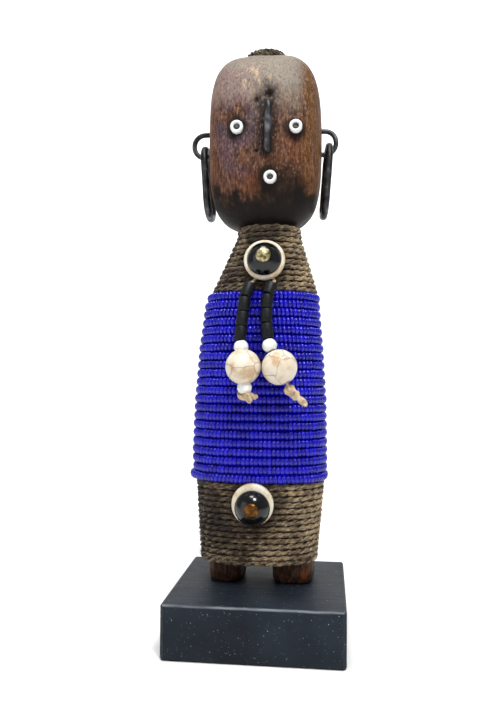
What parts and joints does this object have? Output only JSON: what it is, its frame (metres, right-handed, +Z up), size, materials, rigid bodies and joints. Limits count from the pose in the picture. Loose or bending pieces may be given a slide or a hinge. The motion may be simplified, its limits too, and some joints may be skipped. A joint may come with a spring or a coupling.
{
  "type": "fertility doll",
  "caption": "Carved wooden figure on a square block, bound in twine and rings of blue seed beads, with wire ears, swinging hoops and hanging bead strands.",
  "frame": {"origin": "centre of the block's underside", "axes": "+Z up, the face looks along -Y, +X to the right of someone looking at the face"},
  "size_m": [0.06, 0.06, 0.2141],
  "materials": {
    "painted_block": "matt slate-black paint on a sawn hardwood block",
    "carved_wood": "hand-carved hardwood, oiled and worn, reddish brown",
    "screw_steel": "plain steel screws and nails",
    "forged_iron": "blackened iron wire, smooth from handling",
    "twine": "two-ply sisal or jute twine, glue-stained",
    "crown_twine": "dark coiled twine",
    "blue_glass": "opaque ultramarine seed beads, glossy",
    "white_glass": "opaque white glass beads, glossy",
    "veined_stone": "polished cream stone with tan veins",
    "black_tube": "black tube beads, silk matt",
    "bone": "turned bone, polished",
    "black_horn": "polished black horn or resin dome",
    "brass": "aged brass tack head",
    "waxed_cord": "waxed cotton cord"
  },
  "bodies": {
    "root": {"plinth": "painted_block", "plinth_screws": "screw_steel", "carved_figure": "carved_wood", "top_knot": "crown_twine", "nose_staple": "forged_iron", "left_eye_bead": "white_glass", "right_eye_bead": "white_glass", "mouth_bead": "white_glass", "face_nails": "screw_steel", "left_ear_wire": "forged_iron", "right_ear_wire": "forged_iron", "neck_twine": "twine", "leg_twine": "twine", "bead_row_01": "blue_glass", "bead_row_02": "blue_glass", "bead_row_03": "blue_glass", "bead_row_04": "blue_glass", "bead_row_05": "blue_glass", "bead_row_06": "blue_glass", "bead_row_07": "blue_glass", "bead_row_08": "blue_glass", "bead_row_09": "blue_glass", "bead_row_10": "blue_glass", "bead_row_11": "blue_glass", "bead_row_12": "blue_glass", "bead_row_13": "blue_glass", "bead_row_14": "blue_glass", "bead_row_15": "blue_glass", "bead_row_16": "blue_glass", "bead_row_17": "blue_glass", "bead_row_18": "blue_glass", "bead_row_19": "blue_glass", "bead_row_20": "blue_glass", "bead_row_21": "blue_glass", "bead_row_22": "blue_glass", "chest_ring": "bone", "chest_dome": "black_horn", "chest_tack": "brass", "belly_ring": "bone", "belly_dome": "black_horn", "belly_tack": "brass", "strand_anchor": "waxed_cord"},
    "left_strand_top": {"left_top_cord": "waxed_cord"},
    "left_strand": {"left_cord": "waxed_cord", "left_tubes": "black_tube", "left_small_beads": "white_glass", "left_big_bead": "veined_stone", "left_knot": "waxed_cord"},
    "right_strand_top": {"right_top_cord": "waxed_cord"},
    "right_strand": {"right_cord": "waxed_cord", "right_tubes": "black_tube", "right_small_bead": "white_glass", "right_big_bead": "veined_stone", "right_knot": "waxed_cord"},
    "left_hoop": {"left_earring": "forged_iron"},
    "right_hoop": {"right_earring": "forged_iron"}
  },
  "joints": [
    {"name": "left_hoop_swing", "type": "hinge", "parent": "root", "child": "left_hoop", "pos_m": [-0.02305, 0.01, 0.17522], "axis": [-1, 0, 0], "range_deg": [-45, 45]},
    {"name": "right_hoop_swing", "type": "hinge", "parent": "root", "child": "right_hoop", "pos_m": [0.02355, 0.01, 0.17522], "axis": [-1, 0, 0], "range_deg": [-45, 45]},
    {"name": "left_strand_swing", "type": "hinge", "parent": "root", "child": "left_strand_top", "pos_m": [-0.0027, -0.0092, 0.125], "axis": [0, 1, 0], "range_deg": [0, 45]},
    {"name": "left_strand_lift", "type": "hinge", "parent": "left_strand_top", "child": "left_strand", "pos_m": [-0.0029, -0.0106, 0.1246], "axis": [-1, 0, 0], "range_deg": [0, 70]},
    {"name": "right_strand_swing", "type": "hinge", "parent": "root", "child": "right_strand_top", "pos_m": [0.0049, -0.0092, 0.125], "axis": [0, -1, 0], "range_deg": [0, 45]},
    {"name": "right_strand_lift", "type": "hinge", "parent": "right_strand_top", "child": "right_strand", "pos_m": [0.0047, -0.0106, 0.1246], "axis": [-1, 0, 0], "range_deg": [0, 70]}
  ]
}
